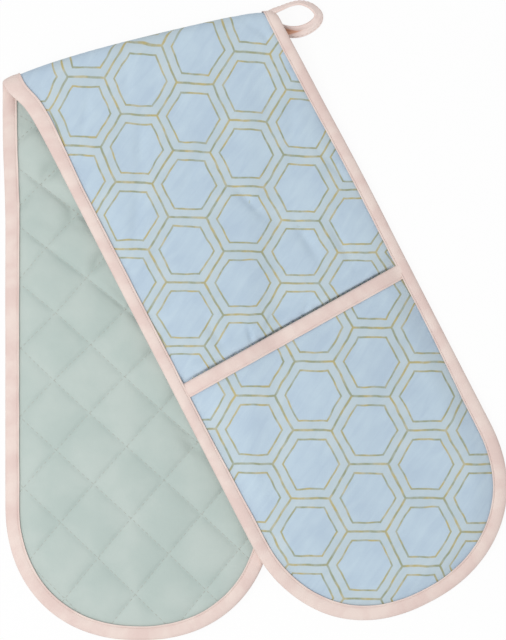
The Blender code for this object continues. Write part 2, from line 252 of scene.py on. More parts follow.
def strip_place(leg, across, along, depth):
    """A place in the strip, on its leg or round its bend; depth is in from the print."""
    past = along - leg.bend_at(across)
    moved = settle(leg, across, along)
    if past <= 0:
        point = leg.flat(across, along) + moved
        if leg is back:
            return Vector((*point, max(back_face(across, along) + depth, on_floor)))
        return Vector((*point, front_face(across, along) - depth))
    turn = past * math.cos(fold_tilt) / bend_middle
    if leg is front:
        turn = math.pi - turn
    along_fold = (across + bend_middle * turn * math.sin(fold_tilt)) / math.cos(fold_tilt)
    radius = bend_outer - depth
    flatter = 1 - (1 - draw_of_leg_share) * fold_draw(across) / bend_outer
    out = radius * math.sin(turn) * flatter
    point = fold_start + fold_along * along_fold + fold_out * out + moved
    return Vector((*point, max(bend_height - radius * math.cos(turn), on_floor)))


def trim(sheet, inset, step, end_at):
    """Cut a flat sheet to a leg's outline and to an end line."""
    outside = {vert for vert in sheet.verts if vert.co.y > end_at(vert.co.x)
               or inset_of(vert.co.x, vert.co.y) < inset - step / 50}
    beyond = [face for face in sheet.faces if all(vert in outside for vert in face.verts)]
    bmesh.ops.delete(sheet, geom=beyond, context="FACES")
    for vert in sheet.verts:
        across, along, _ = vert.co
        short = inset - inset_of(across, along)
        if short > 0 and along < half:
            size = (half - inset) / (half - inset + short)
            across, along = across * size, half - (half - along) * size
        elif short > 0:
            across = math.copysign(half - inset, across)
        vert.co = (across, min(along, end_at(across)), 0)
    bmesh.ops.remove_doubles(sheet, verts=sheet.verts[:], dist=step / 20)
    bmesh.ops.dissolve_degenerate(sheet, edges=sheet.edges[:], dist=step / 40)
    return sheet


def cut_sheet(inset, step, left, right, end_at, other_rows=()):
    """A flat sheet of small squares, cut to a leg's outline and to an end line.

    other_rows names parts of its length, by their start and end, with rows another step apart.
    """
    sheet = bmesh.new()
    sheet.loops.layers.uv.new("cloth")
    high = max(end_at(left), end_at(right), end_at((left + right) / 2))
    rows = [0.0]
    while rows[-1] < high:
        steps = [other for start, end, other in other_rows if start <= rows[-1] < end]
        rows.append(min(rows[-1] + (steps[0] if steps else step), high))
    columns = round((right - left) / step)
    bmesh.ops.create_grid(sheet, x_segments=columns, y_segments=len(rows) - 1, size=0.5)
    for vert in sheet.verts:
        along = rows[round((vert.co.y + 0.5) * (len(rows) - 1))]
        vert.co = (left + (vert.co.x + 0.5) * (right - left), along, 0)
    return trim(sheet, inset, step, end_at)


def mark_cloth(sheet, mark):
    """Write the print's own flat coordinates into the sheet's UV map."""
    layer = sheet.loops.layers.uv["cloth"]
    for face in sheet.faces:
        for loop in face.loops:
            loop[layer].uv = mark(loop.vert.co.x, loop.vert.co.y)


def show(name, shape, material, turned=False):
    """Turn a bmesh into a smooth object with a sharp rim, at the origin."""
    for edge in shape.edges:
        edge.smooth = not edge.is_boundary
    for face in shape.faces:
        face.smooth = True
    if turned:
        bmesh.ops.reverse_faces(shape, faces=shape.faces[:])
    mesh = bpy.data.meshes.new(name)
    shape.to_mesh(mesh)
    shape.free()
    mesh.materials.append(material)
    piece = bpy.data.objects.new(name, mesh)
    bpy.context.scene.collection.objects.link(piece)
    return piece


def thicken(piece, thickness, offset=-1.0):
    """Give a single sheet the thickness of its cloth, inwards unless told otherwise."""
    wall = piece.modifiers.new("cloth", "SOLIDIFY")
    wall.thickness = thickness
    wall.offset = offset


def lay_sheet(name, sheet, place, depth, material, turned):
    """Drape a flat sheet on its outer face, and give it the thickness of the cloth."""
    area = sum(face.calc_area() for face in sheet.faces)
    for vert in sheet.verts:
        across, along, _ = vert.co
        vert.co = place(across, along, depth(across, along))
    piece = show(name, sheet, material, turned)
    thicken(piece, fabric)
    return piece, area


def lay_pad(name, sheet, place, outer, inner, material):
    """Drape a flat sheet twice, on its two faces, and close it round the rim."""
    area = sum(face.calc_area() for face in sheet.faces)
    flat = {vert: vert.co.to_2d() for vert in sheet.verts}
    raised = bmesh.ops.extrude_face_region(sheet, geom=sheet.faces[:])["geom"]
    upper = {item for item in raised if isinstance(item, bmesh.types.BMVert)}
    for vert in sheet.verts:
        across, along = flat[vert] if vert in flat else vert.co.to_2d()
        depth = inner(across, along) if vert in upper else outer(across, along)
        vert.co = place(across, along, depth)
    # The rim's new faces come in another order on each run, so all are put in one
    ranked = sorted(sheet.faces, key=lambda face: face.calc_center_median()[:])
    rank = {face: place_in_row for place_in_row, face in enumerate(ranked)}
    sheet.faces.sort(key=rank.get)
    bmesh.ops.recalc_face_normals(sheet, faces=sheet.faces[:])
    if sheet.calc_volume(signed=True) < 0:
        bmesh.ops.reverse_faces(sheet, faces=sheet.faces[:])
    piece = show(name, sheet, material)
    return piece, area


# Materials. One function reads a written colour and one adds a shader node; the patterns
# that several cloths share, the clouds in a dye and the crossing threads, follow.
def linear(written):
    """An sRGB colour, written as hex, in linear light."""
    parts = (int(written[i:i + 2], 16) / 255 for i in (1, 3, 5))
    return (*(c / 12.92 if c <= 0.04045 else ((c + 0.055) / 1.055) ** 2.4 for c in parts), 1)


def add_node(material, kind, values, **settings):
    """Add a shader node; each value is a number, a colour or another node's output."""
    tree = material.node_tree
    node = tree.nodes.new("ShaderNode" + kind)
    for name, setting in settings.items():
        setattr(node, name, setting)
    for name, value in values.items():
        if isinstance(value, bpy.types.NodeSocket):
            tree.links.new(value, node.inputs[name])
        else:
            node.inputs[name].default_value = value
    return node.outputs


def new_material(name):
    """A plain material, and its shader."""
    material = bpy.data.materials.new(name)
    material.use_nodes = True
    return material, material.node_tree.nodes["Principled BSDF"]


def join(material, output, socket):
    material.node_tree.links.new(output, socket)


def cloth_in_mm(material):
    """The cloth's own flat coordinates, from its UV map, in millimetres."""
    cloth = add_node(material, "UVMap", {}, uv_map="cloth")["UV"]
    return add_node(material, "VectorMath", {0: cloth, "Scale": 1000.0},
                    operation="SCALE")["Vector"]


def mottled(material, in_mm, scale, detail, spread, darker, lighter):
    """A colour that drifts between two, in soft clouds over the cloth."""
    cloud = add_node(material, "TexNoise", {"Vector": in_mm, "Scale": scale, "Detail": detail},
                     noise_dimensions="2D")["Fac"]
    share = add_node(material, "MapRange", {"Value": cloud, "From Min": spread[0],
                                            "From Max": spread[1]})["Result"]
    return add_node(material, "Mix", {"Factor": share, "A": linear(darker),
                                      "B": linear(lighter)}, data_type="RGBA")["Result"]


def weave(material, shader, in_mm, threads, spacing, waver, slubs, relief):
    """Raise the cloth's crossing threads and its slubs.

    threads are the coordinates they run on, spacing their scale in a wave texture and waver
    their distortion; slubs gives a scale, detail and height, relief a strength and depth.
    """
    heights = []
    for direction in ("X", "Y"):
        heights.append(add_node(material, "TexWave", {"Vector": threads, "Scale": spacing,
                                                      "Distortion": waver, "Detail": 1.0},
                                bands_direction=direction)["Fac"])
    height = add_node(material, "Math", {0: heights[0], 1: heights[1]}, operation="ADD")[0]
    scale, detail, push = slubs
    slub = add_node(material, "TexNoise", {"Vector": in_mm, "Scale": scale, "Detail": detail},
                    noise_dimensions="2D")["Fac"]
    height = add_node(material, "Math", {0: slub, 1: push, 2: height},
                      operation="MULTIPLY_ADD")[0]
    strength, distance = relief
    bump = add_node(material, "Bump", {"Height": height, "Strength": strength,
                                       "Distance": distance})["Normal"]
    join(material, bump, shader.inputs["Normal"])


def printed_cotton(name):
    """Plain woven cotton with a honeycomb drawn in bronze ink over mottled pale blues.

    The cloth is matt; the ink is thin, a little shiny, and varies from olive to gold.
    """
    hexagon_side, hexagon_rise = 27.0, 23.4
    inner_ring = 0.73
    lines_drawn = ((1.0, 0.76, 0.36), (inner_ring, 0.62, 0.34))
    unsteady_hand = (1.6, 1.6, 0)
    material, shader = new_material(name)
    in_mm = cloth_in_mm(material)
    wander = add_node(material, "TexNoise", {"Vector": in_mm, "Scale": 0.07, "Detail": 1.0},
                      noise_dimensions="2D")["Color"]
    wander = add_node(material, "VectorMath", {0: wander, 1: (0.5, 0.5, 0.5)},
                      operation="SUBTRACT")["Vector"]
    drawn = add_node(material, "VectorMath", {0: wander, 1: unsteady_hand, 2: in_mm},
                     operation="MULTIPLY_ADD")["Vector"]
    reach = (1.5 * hexagon_side, hexagon_rise, 1)
    rings = []
    for shift in ((0, 0, 0), reach):
        moved = add_node(material, "VectorMath", {0: drawn, 1: shift}, operation="ADD")["Vector"]
        cell = add_node(material, "VectorMath",
                        {0: moved, 1: reach, 2: tuple(-r for r in reach)},
                        operation="WRAP")["Vector"]
        size = add_node(material, "VectorMath", {0: cell}, operation="ABSOLUTE")["Vector"]
        xy = add_node(material, "SeparateXYZ", {"Vector": size})
        # The hexagon's slanted sides face 30 degrees up from its width
        slope = add_node(material, "Math", {0: xy["X"], 1: 0.866}, operation="MULTIPLY")[0]
        slope = add_node(material, "Math", {0: xy["Y"], 1: 0.5, 2: slope},
                         operation="MULTIPLY_ADD")[0]
        rings.append(add_node(material, "Math", {0: xy["Y"], 1: slope}, operation="MAXIMUM")[0])
    ring = add_node(material, "Math", {0: rings[0], 1: rings[1]}, operation="MINIMUM")[0]
    lines = []
    for share, line, soft in lines_drawn:
        off = add_node(material, "Math", {0: ring, 1: hexagon_rise * share},
                       operation="SUBTRACT")[0]
        off = add_node(material, "Math", {0: off}, operation="ABSOLUTE")[0]
        lines.append(add_node(
            material, "MapRange",
            {"Value": off, "From Min": line - soft, "From Max": line + soft,
             "To Min": 1.0, "To Max": 0.0}, interpolation_type="SMOOTHSTEP")["Result"])
    ink = add_node(material, "Math", {0: lines[0], 1: lines[1]}, operation="MAXIMUM")[0]
    worn = add_node(material, "TexNoise", {"Vector": in_mm, "Scale": 0.16, "Detail": 4.0},
                    noise_dimensions="2D")["Fac"]
    worn = add_node(material, "MapRange", {"Value": worn, "From Min": 0.36, "From Max": 0.58,
                                           "To Min": 0.72, "To Max": 1.0})["Result"]
    ink = add_node(material, "Math", {0: ink, 1: worn}, operation="MULTIPLY")[0]

    # The blues: brushed streaks and soft clouds, a little paler between the two lines
    streaks = add_node(material, "Mapping",
                       {"Vector": in_mm, "Rotation": (0, 0, math.radians(57)),
                        "Scale": (26.0, 5.0, 1.0)}, vector_type="TEXTURE")["Vector"]
    streak = add_node(material, "TexNoise", {"Vector": streaks, "Scale": 1.0, "Detail": 3.0,
                                             "Distortion": 0.6}, noise_dimensions="2D")["Fac"]
    cloud = add_node(material, "TexNoise", {"Vector": in_mm, "Scale": 0.045, "Detail": 2.0},
                     noise_dimensions="2D")["Fac"]
    tone = add_node(material, "Math", {0: streak, 1: cloud}, operation="ADD")[0]
    tone = add_node(material, "MapRange", {"Value": tone, "From Min": 0.66,
                                           "From Max": 1.34})["Result"]
    between = add_node(material, "MapRange",
                       {"Value": ring, "From Min": hexagon_rise * inner_ring - 0.4,
                        "From Max": hexagon_rise * inner_ring + 0.4})["Result"]
    blue, pale = (
        add_node(material, "Mix", {"Factor": tone, "A": linear(darker), "B": linear(lighter)},
                 data_type="RGBA")["Result"]
        for darker, lighter in (("#b4c7d8", "#bed1df"), ("#b8c9d3", "#c1d0d8")))
    bronze = mottled(material, in_mm, 0.1, 3.0, (0.4, 0.62), "#949b80", "#b6aa76")
    colour = add_node(material, "Mix", {"Factor": between, "A": blue, "B": pale},
                      data_type="RGBA")["Result"]
    colour = add_node(material, "Mix", {"Factor": ink, "A": colour, "B": bronze},
                      data_type="RGBA")["Result"]
    join(material, colour, shader.inputs["Base Color"])
    rough = add_node(material, "MapRange", {"Value": ink, "To Min": 0.86, "To Max": 0.5})
    join(material, rough["Result"], shader.inputs["Roughness"])
    shader.inputs["Sheen Weight"].default_value = 0.06

    # Threads 0.3 mm apart are too fine for the render, so they are drawn 1.1 mm apart
    weave(material, shader, in_mm, in_mm, 0.28, 1.2, (0.12, 3.0, 5.0), (0.25, 0.06 * MM))
    return material


# Printed cotton of the strip. It lies down on the back leg and up on the front leg,
# and is cut to the glove's outline; each half carries a quarter of the bend.
print_inset = 2.2 * MM
# The print lies on the cloth a little askew and squeezed, and bends along the strip
strip_print_middle = (-18.0 * MM, 332.3 * MM)
strip_leans = (math.radians(3.5), math.radians(1.85))
strip_stretch_shares = (1.058, 1.019)
print_bow, print_bow_reach = 2.8 * MM, 80 * MM


def print_mark(leg, middle, leans, stretch_shares, bow):
    """The print's flat coordinates, with a hexagon's middle at this flat place of the leg."""
    start = leg.flat(*middle)
    columns, rows = leans

    def mark(across, along):
        step = leg.flat(across, along) - start
        bowed = min(along, leg.crest_at(-half)) - middle[1]
        bent = bow * (bowed / print_bow_reach) ** 2
        column = step.x * math.cos(columns) - step.y * math.sin(columns)
        row = step.x * math.sin(rows) + step.y * math.cos(rows)
        return column * stretch_shares[0] - bent, row * stretch_shares[1] - bent
    return mark


# The pocket's mouth runs a little askew, and the strip rolls up before it
mouth_skew, mouth_ahead = 0.033, 0.9 * MM
mouth_sink, mouth_sink_start, mouth_sink_run = 2.4 * MM, 1.1 * MM, 1.3 * MM
mouth_sink_behind, mouth_sink_rise = 22 * MM, 14 * MM
# The sink is weaker at the mouth's left end
left_sink_share, left_sink_end, left_sink_run = 0.3, -35 * MM, 20 * MM
mouth_roll, mouth_roll_at, mouth_roll_reach = 3.2 * MM, 4.6 * MM, 5.6 * MM
mouth_roll_start, mouth_roll_run = 0.6 * MM, 1.8 * MM


def mouth_at(leg, across):
    """How far from the tip the pocket's mouth is, at this place across it."""
    return pocket_depth + (mouth_skew * across + mouth_ahead if leg is front else 0.0)


# Where the mouth's stitches pull at the strip under it: millimetres across from its middle
mouth_pulls = (82, 69, 21, 11, 3, -23, -43, -55, -62, -73)
pull_depth, pull_width, pull_reach = 1.1 * MM, 1.6 * MM, 4 * MM


def mouth_dip(across, along):
    """How deep the front leg's print sinks under the pocket's mouth; it rolls up before it."""
    past = along - mouth_at(front, across)
    sink = mouth_sink * (1 - smooth((past - mouth_sink_start) / mouth_sink_run))
    sink *= smooth((past + mouth_sink_behind) / mouth_sink_rise)
    rest = 1 - left_sink_share
    sink *= left_sink_share + rest * smooth((across - left_sink_end) / left_sink_run)
    roll = mouth_roll * math.exp(-((past - mouth_roll_at) / mouth_roll_reach) ** 2)
    roll *= smooth((past - mouth_roll_start) / mouth_roll_run)
    dip = sink - roll
    for pull in mouth_pulls:
        off = (across - pull * MM) / pull_width
        if abs(off) < 3:
            dip += pull_depth * math.exp(-off * off - (past / pull_reach) ** 2)
    return dip


# Soft dents of the front leg's print: place (across, along), direction, length, width
# and depth, all but the direction in millimetres
front_dents = (
    (-57, 410, 41, 36, 5.0, 2.1), (-74, 437, 18, 12, 3.0, 1.2), (75, 406, -28, 30, 4.5, 1.8),
    (79, 402, 1, 20, 5.0, 1.7), (19, 423, 13, 28, 6.0, 1.4), (-22, 414, 31, 28, 7.0, 1.7),
    (-35, 373, 30, 34, 8.0, 1.8), (-59, 330, 34, 38, 9.0, 2.0), (-66, 297, 61, 46, 6.0, 1.5),
    (-13, 339, 61, 26, 7.0, 1.5), (13, 304, -18, 24, 5.0, 1.7), (22, 289, -29, 74, 13.0, 1.7),
    (37, 263, -3, 36, 7.0, 1.8), (57, 250, -2, 28, 6.0, 1.7), (77, 299, -16, 34, 5.0, 1.5),
    (64, 336, 30, 44, 9.0, 1.0), (-70, 262, 70, 24, 5.0, 1.2), (-49, 232, -6, 26, 7.0, 1.5),
    (-28, 221, 13, 12, 3.0, 2.1), (-12, 224, 50, 16, 3.5, 1.2), (16, 222, 46, 13, 3.0, 1.0),
)


def dent_depth(dents, across, along):
    """How deep the creases and hollows of this list are here."""
    depth = 0.0
    for place_across, place_along, direction, length, width, deep in dents:
        angle = math.radians(direction)
        step_a, step_l = across - place_across * MM, along - place_along * MM
        down = step_a * math.sin(angle) + step_l * math.cos(angle)
        off = step_a * math.cos(angle) - step_l * math.sin(angle)
        down, off = down / (length * MM / 2), off / (width * MM / 2)
        if abs(down) < 2 and abs(off) < 3:
            depth += deep * MM * math.exp(-down * down - off * off)
    return depth


front_waves = ((0.55, 42, 3.1), (0.12, 13, 8.7))
front_gathers, back_gathers = 0.12 * MM, 0.15 * MM
taut_before_fold, taut_run, taut_share = 60 * MM, 50 * MM, 0.6


def front_print_depth(across, along):
    """How deep the front leg's print lies; it is pulled taut over the fold."""
    near_fold = smooth((along - front.length + taut_before_fold) / taut_run)
    calm = seam_swell(inset_of(across, along))
    waves = waves_of(front_waves, across, along) * calm
    gathers = front_gathers * (1 + near_fold) * puckers(across, along, 1.7)
    dents = (dent_depth(front_dents, across, along) + mouth_dip(across, along)) * calm
    return (dents + waves + gathers) * (1 - taut_share * near_fold)


def back_print_depth(across, along):
    return back_gathers * puckers(across, along, 9.3)


strip_print = printed_cotton("printed_cotton_strip")
strip_side = half - print_inset
# Rows lie close where the mouth shades the strip, and wide where the pocket hides it
print_step, hidden_step, mouth_step = 1.4 * MM, 3 * MM, 0.6 * MM
mouth_rows = (pocket_depth - 6 * MM, pocket_depth + 12 * MM)
strip_mark = print_mark(front, strip_print_middle, strip_leans, strip_stretch_shares, print_bow)
strip_run = front.crest_at(0.0) + back.crest_at(0.0)
back_sheet = cut_sheet(print_inset, hidden_step, -strip_side, strip_side, back.crest_at)
mark_cloth(back_sheet, lambda across, along: strip_mark(across, strip_run - along))
back_print, back_print_area = lay_sheet(
    "back_print_panel", back_sheet, partial(strip_place, back), back_print_depth,
    strip_print, True)
front_sheet = cut_sheet(
    print_inset, print_step, -strip_side, strip_side, front.crest_at,
    ((0, mouth_rows[0], hidden_step), (*mouth_rows, mouth_step)))
mark_cloth(front_sheet, strip_mark)
front_print, front_print_area = lay_sheet(
    "front_print_panel", front_sheet, partial(strip_place, front), front_print_depth,
    strip_print, False)


def bend_points(radius):
    """Where the bend starts, its crest and where it ends, at this radius."""
    centre = Vector((*fold_start, bend_height))
    down, out = Vector((0, 0, radius)), Vector((*fold_out, 0)) * radius
    return centre - down, centre + out, centre + down


def bend_with(piece, leg, radius):
    """Bake a piece of a leg into place; the points of its quarter of the bend are found, but
    unused.
    """
    low, crest, high = bend_points(radius)
    if leg is back:
        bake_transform(piece)
        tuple(low)
        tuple(crest)
    else:
        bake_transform(piece)
        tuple(crest)
        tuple(high)


bend_with(back_print, back, bend_outer)
bend_with(front_print, front, bend_outer)
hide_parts("back_print")
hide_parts("front_print", "fold_print")

# Quilted lining with its wadding. Plain green cotton, stitched through to the wadding
# along diagonal lines 34 mm apart, which leaves soft square puffs with narrow channels.
quilt_start = Vector((-5.5, 82.0)) * MM
quilt_right = Vector((23.0, 24.4)) * MM
quilt_left = Vector((-25.8, 21.8)) * MM
quilt_step = 33.6 * MM
quilt_area = quilt_right.x * quilt_left.y - quilt_right.y * quilt_left.x
# The layers crept while they were sewn, so the lines are spread out in the leg's middle
creep_along, creep_middle, creep_reach = 7.3 * MM, 215 * MM, 145 * MM
creep_across, creep_bump, creep_bump_reach = 5.3 * MM, 225 * MM, 40 * MM


def quilt_creep(along):
    """How far the layers crept across and along, at this place along a leg."""
    sideways = creep_across * math.exp(-((along - creep_bump) / creep_bump_reach) ** 2)
    return sideways, creep_along * (1 - ((along - creep_middle) / creep_reach) ** 2)


def quilt_read(across, along):
    """The place counted in quilting lines, two numbers that are whole on the lines."""
    sideways, lengthways = quilt_creep(along)
    step_a = across - sideways - quilt_start.x
    step_l = along - lengthways - quilt_start.y
    return ((step_a * quilt_left.y - step_l * quilt_left.x) / quilt_area,
            (step_l * quilt_right.x - step_a * quilt_right.y) / quilt_area)


def quilt_flat(right_count, left_count):
    """The flat place at these counts of quilting lines."""
    sewn = quilt_start + quilt_right * right_count + quilt_left * left_count
    along = sewn.y
    for _ in range(6):
        along = sewn.y + quilt_creep(along)[1]
    return Vector((sewn.x + quilt_creep(along)[0], along))


groove_fades = (2.5 * MM, 1.6 * MM)
groove_share, top_power = 0.46, 2.4


def puff(across, along):
    """0 in the stitched channels and 1 on top of each puff."""
    crisp, round_top = 1.0, 1.0
    for count, fade in zip(quilt_read(across, along), groove_fades):
        off = abs(count - round(count))
        crisp *= 1 - math.exp(-off * quilt_step / fade)
        round_top *= 1 - (1 - 2 * off) ** top_power
    return groove_share * crisp + (1 - groove_share) * round_top


# Gathers across the quilting stitches: how far apart, how far they reach from the stitches
# and start beside them, and over what lengths they drift and change in strength
gather_spacing, gather_reach, gather_start = 5.6 * MM, 4.5 * MM, 1 * MM
gather_drift, gather_change, gather_turn = 37 * MM, 23 * MM, 9
gather_strength, gather_play = 0.5, 1.6


def quilt_gathers(across, along):
    """Small gathers across the quilting stitches, between -1 and 1."""
    pull = 0.0
    counts = quilt_read(across, along)
    for count, other in (counts, counts[::-1]):
        off = abs(count - round(count)) * quilt_step
        phase = other * quilt_step / gather_spacing * math.tau
        phase += gather_turn * ripple(across, along, gather_drift, round(count) * 1.7)
        change = ripple(across, along, gather_change, round(count) * 2.9 + 40)
        fade = math.exp(-off / gather_reach) * (1 - math.exp(-off / gather_start))
        pull += fade * math.sin(phase) * (gather_strength + gather_play * change)
    return pull


# Hollows of the back leg's lining beside the front leg and along its edge, near the fold
lining_dents = (
    (-73, 359, 44, 17, 9.0, 3.6), (-61, 324, 44, 17, 10.0, 3.6), (-50, 303, -49, 34, 6.0, 2.1),
    (-46, 294, 40, 12, 8.0, 2.3), (-27, 262, 44, 14, 8.0, 3.1), (-14, 240, -40, 22, 6.0, 1.6),
    (-80, 349, 44, 12, 5.0, 2.1), (-80, 329, -49, 12, 5.0, 1.6), (-80, 302, 44, 12, 5.0, 2.0),
    (-80, 256, 44, 14, 5.0, 1.8), (-64, 288, -70, 20, 5.0, 0.9), (-40, 285, -75, 26, 6.0, 0.8),
    (8, 199, -40, 16, 5.0, 1.3), (36, 134, -49, 16, 6.0, 2.3), (-30, 180, -80, 26, 6.0, 0.5),
    (-79, 373, 0, 30, 12.0, 4.4),
)

lining_waves = ((0.30, 34, 2.2), (0.14, 11, 6.4))
quilt_gather, lining_gather = 0.26 * MM, 0.22 * MM
# The rows of stitches that run up to the right are pulled tighter towards the fold
tight_pull, tight_reach = 0.8 * MM, 2.6 * MM
tight_from, tight_run = 190 * MM, 90 * MM
thinnest, thinnest_pad = 0.5 * MM, 0.4 * MM
bend_share, bend_run = 0.85, 24 * MM


def lining_fill(leg, across, along):
    """The wadding's thickness, drawn thin under the tape, in the channels and at the fold."""
    swell = puff(across, along)
    middle = channel_wadding + (puff_wadding - channel_wadding) * swell
    middle += waves_of(lining_waves, across, along) * swell
    middle += quilt_gather * quilt_gathers(across, along)
    off = quilt_read(across, along)[0]
    pull = math.exp(-abs(off - round(off)) * quilt_step / tight_reach)
    middle -= tight_pull * pull * smooth((along - tight_from) / tight_run)
    if leg is back:
        middle -= dent_depth(lining_dents, across, along)
    middle = max(middle, thinnest)
    bent = smooth((along - leg.bend_at(across) + bend_run) / bend_run)
    middle += (fold_wadding - middle) * bent * bend_share
    full = seam_swell(inset_of(across, along))
    gathers = lining_gather * puckers(across, along, 4.4)
    return edge_wadding + (middle - edge_wadding) * full + gathers


def lining_depth(leg, across, along):
    """How deep the lining's face lies, in from the print."""
    return skins + lining_fill(leg, across, along)


def hidden_depth(leg, print_depth, across, along):
    """How deep the lining's hidden side lies, just under the print."""
    return min(print_depth(across, along) + fabric + clearance,
               lining_depth(leg, across, along) - thinnest_pad)


# Where the sheet's threads of faces run between two quilting lines, close at the lines
quilt_shares = (0, 0.03, 0.065, 0.11, 0.17, 0.24, 0.32, 0.41,
                0.5, 0.59, 0.68, 0.76, 0.83, 0.89, 0.935, 0.97)


def cut_quilt(leg, inset):
    """A flat sheet with its faces along the quilting lines, cut to a leg's outline."""
    sheet = bmesh.new()
    sheet.loops.layers.uv.new("cloth")
    corners = [quilt_read(across, along) for across in (-half, half)
               for along in (0.0, leg.crest_at(half), leg.crest_at(-half))]
    lows = [math.floor(min(corner[way] for corner in corners)) for way in (0, 1)]
    highs = [math.ceil(max(corner[way] for corner in corners)) for way in (0, 1)]
    fine = len(quilt_shares)
    columns, rows = (fine * (high - low) for low, high in zip(lows, highs))
    bmesh.ops.create_grid(sheet, x_segments=columns, y_segments=rows, size=0.5)
    for vert in sheet.verts:
        counts = []
        for share, steps, low in ((vert.co.x, columns, lows[0]), (vert.co.y, rows, lows[1])):
            cell, line = divmod(round((share + 0.5) * steps), fine)
            counts.append(low + cell + quilt_shares[line])
        vert.co = (*quilt_flat(*counts), 0)
    return trim(sheet, inset, quilt_step * quilt_shares[1], leg.crest_at)


def green_cotton(name):
    """Plain woven cotton, dyed sage green: matt, with a fine even weave and soft slubs."""
    material, shader = new_material(name)
    in_mm = cloth_in_mm(material)
    green = mottled(material, in_mm, 0.03, 4.0, (0.35, 0.65), "#b4c2bd", "#bcc8c3")
    join(material, green, shader.inputs["Base Color"])
    shader.inputs["Roughness"].default_value = 0.88
    shader.inputs["Sheen Weight"].default_value = 0.06

    # Threads 0.35 mm apart are drawn 1.2 mm apart so that they show
    weave(material, shader, in_mm, in_mm, 0.26, 1.5, (0.1, 4.0, 6.0), (0.3, 0.06 * MM))
    return material


def flat_mark(across, along):
    return across, along


lining_cotton = green_cotton("green_cotton_lining")
quilts = {}
for leg, print_depth in ((back, back_print_depth), (front, front_print_depth)):
    sheet = cut_quilt(leg, print_inset)
    mark_cloth(sheet, flat_mark)
    quilts[leg], _ = lay_pad(
        leg.name + "_quilted_lining", sheet, partial(strip_place, leg),
        partial(hidden_depth, leg, print_depth), partial(lining_depth, leg), lining_cotton)
    bend_with(quilts[leg], leg, bend_middle)
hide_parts("back_lining", "back_wadding", "fold_wadding")
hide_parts("front_lining", "front_wadding", "fold_lining")

# Bias tape round the edge. Pink cotton cut on the bias, folded round all the layers
# and held by one row of stitches 1 mm from its lips, so it stands up like a soft roll.
tape = 0.6 * MM
binding_width = 9.4 * MM
nose, nose_rise = 1.9 * MM, 0.95 * MM
# How the tape's outer face stands over the cloth: inset from the edge, and rise
tape_profile = ((9.4, 0.72), (9.15, 0.92), (8.8, 0.80), (8.5, 0.56), (8.1, 0.72), (7.2, 1.02),
                (5.8, 1.25), (4.2, 1.30), (2.9, 1.15))
nose_angles = (-72, -48, -24, 0, 24, 48, 72)
profile_step = 1.1 * MM
# The tape's middle is this much of a half circle round the outline's end
round_share = 0.96
# The roll swells up to its seam, and the lips beyond it wander along the tape
swell_share, swell_length, swell_twist, swell_until = 0.16, 21 * MM, 0.13, 8
lip_wander, lip_length, lip_from, lip_run = 0.22 * MM, 17 * MM, 5, 4


def pink_cotton(name, darker, lighter, inside=None):
    """Bias tape of pale pink cotton: matt, with a fine weave that runs askew.

    Where the UV map "gape" says so, inside is mixed in: a warm painted shade for the fold's
    shadow.
    """
    material, shader = new_material(name)
    in_mm = cloth_in_mm(material)
    pink = mottled(material, in_mm, 0.06, 3.0, (0.35, 0.65), darker, lighter)
    # inside is a painted shade colour, for the shadow in the gaping fold of the tape
    if inside:
        gape = add_node(material, "UVMap", {}, uv_map="gape")["UV"]
        gape = add_node(material, "SeparateXYZ", {"Vector": gape})["X"]
        pink = add_node(material, "Mix", {"Factor": gape, "A": pink, "B": linear(inside)},
                        data_type="RGBA")["Result"]
    join(material, pink, shader.inputs["Base Color"])
    shader.inputs["Roughness"].default_value = 0.85
    shader.inputs["Sheen Weight"].default_value = 0.08

    # Threads at 45 degrees to the tape, 0.35 mm apart, drawn 1.1 mm apart
    bias = add_node(material, "Mapping", {"Vector": in_mm,
                                          "Rotation": (0, 0, math.pi / 4)})["Vector"]
    weave(material, shader, in_mm, bias, 0.28, 1.5, (0.2, 3.0, 4.0), (0.35, 0.08 * MM))
    return material


def fold_tape(name, stops, spot, core, place, material, turned):
    """A tape folded over an edge, as a flat grid that is wrapped round it.

    spot gives the flat place at a stop and an inset, core the depths of the two faces
    that the tape covers there, and place turns a flat place and a depth into a point.
    """
    count = len(tape_profile)
    rows = 2 * count + len(nose_angles)
    sheet = bmesh.new()
    layer = sheet.loops.layers.uv.new("cloth")
    bmesh.ops.create_grid(sheet, x_segments=len(stops) - 1, y_segments=rows - 1, size=0.5)
    way = [0.0]
    for last, stop in zip(stops, stops[1:]):
        way.append(way[-1] + (Vector(spot(stop, binding_width / 2))
                              - Vector(spot(last, binding_width / 2))).length)
    flat = {}
    for vert in sheet.verts:
        index = round((vert.co.x + 0.5) * (len(stops) - 1))
        row = round((vert.co.y + 0.5) * (rows - 1))
        stop, run = stops[index], way[index]
        outer = row < count
        wave = noise.noise(Vector((run / swell_length, row * swell_twist, 2.0)))
        wave = 1 + swell_share * wave
        lip = lip_wander * noise.noise(Vector((run / lip_length, 0.0 if outer else 9.0, 5.0)))
        if count <= row < rows - count:
            angle = math.radians(nose_angles[row - count])
            inset = nose * (1 - math.cos(angle))
            first, last = core(stop, max(inset, print_inset))
            rise = (last - first) / 2 + nose_rise * wave
            depth = (first + last) / 2 + rise * math.sin(angle)
        else:
            reach, rise = tape_profile[row if outer else rows - 1 - row]
            inset = reach * MM + lip * smooth((reach - lip_from) / lip_run)
            first, last = core(stop, inset)
            high = rise * MM * (wave if reach < swell_until else 1)
            depth = first - high if outer else last + high
        across, along = spot(stop, inset)
        vert.co = place(across, along, depth)
        flat[vert] = (run, row * profile_step)
    for face in sheet.faces:
        for loop in face.loops:
            loop[layer].uv = flat[loop.vert]
    piece = show(name, sheet, material, turned)
    thicken(piece, tape)
    return piece, way[-1]


